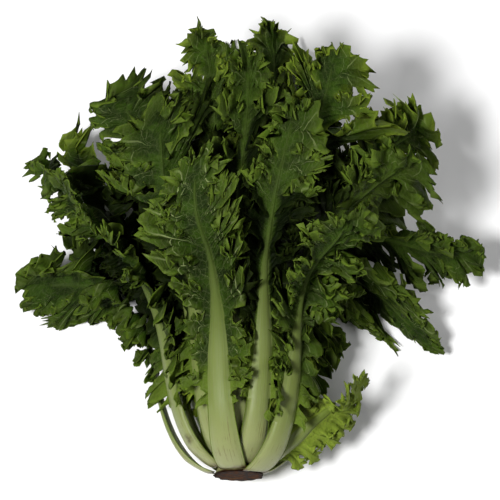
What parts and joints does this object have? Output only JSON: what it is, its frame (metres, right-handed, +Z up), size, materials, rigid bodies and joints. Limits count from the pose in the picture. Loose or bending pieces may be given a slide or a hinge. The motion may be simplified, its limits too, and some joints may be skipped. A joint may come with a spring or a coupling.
{
  "type": "curly endive",
  "caption": "Cut head of curly endive lying on its side: a short stem with frilled green leaves that fan out and arch over from pale, broad petioles.",
  "frame": {"origin": "centre of the box round the head, on the surface that it lies on", "axes": "+Y along the head's axis, from the cut across the stem towards the leaf tips, and +Z up from the surface it lies on"},
  "size_m": [0.3108, 0.337, 0.1733],
  "materials": {
    "stem_white": "moist, pale, with a dried brown cut",
    "heart_green": "satin, pale yellow-green",
    "leaf_green": "satin, dark green, paler towards the midrib and petiole"
  },
  "bodies": {
    "root": {"stem": "stem_white", "heart_leaf_01": "heart_green", "heart_leaf_02": "heart_green", "heart_leaf_03": "heart_green", "heart_leaf_04": "heart_green", "heart_leaf_05": "heart_green", "heart_leaf_06": "heart_green", "heart_leaf_07": "heart_green", "heart_leaf_08": "heart_green", "heart_leaf_09": "heart_green", "inner_leaf_10": "leaf_green", "inner_leaf_11": "leaf_green", "inner_leaf_12": "leaf_green", "inner_leaf_13": "leaf_green", "inner_leaf_14": "leaf_green", "inner_leaf_15": "leaf_green", "inner_leaf_16": "leaf_green", "inner_leaf_17": "leaf_green", "inner_leaf_18": "leaf_green", "inner_leaf_19": "leaf_green", "inner_leaf_20": "leaf_green", "inner_leaf_21": "leaf_green", "inner_leaf_22": "leaf_green", "inner_leaf_23": "leaf_green", "inner_leaf_24": "leaf_green", "inner_leaf_25": "leaf_green", "inner_leaf_26": "leaf_green", "inner_leaf_27": "leaf_green", "outer_leaf_28": "leaf_green", "outer_leaf_29": "leaf_green", "outer_leaf_30": "leaf_green", "outer_leaf_31": "leaf_green", "outer_leaf_32": "leaf_green", "outer_leaf_33": "leaf_green", "outer_leaf_34": "leaf_green", "outer_leaf_35": "leaf_green", "outer_leaf_36": "leaf_green", "outer_leaf_37": "leaf_green", "outer_leaf_38": "leaf_green", "outer_leaf_39": "leaf_green", "outer_leaf_40": "leaf_green", "outer_leaf_41": "leaf_green", "outer_leaf_42": "leaf_green", "outer_leaf_43": "leaf_green", "outer_leaf_44": "leaf_green", "outer_leaf_45": "leaf_green", "outer_leaf_46": "leaf_green", "outer_leaf_47": "leaf_green"}
  },
  "joints": []
}
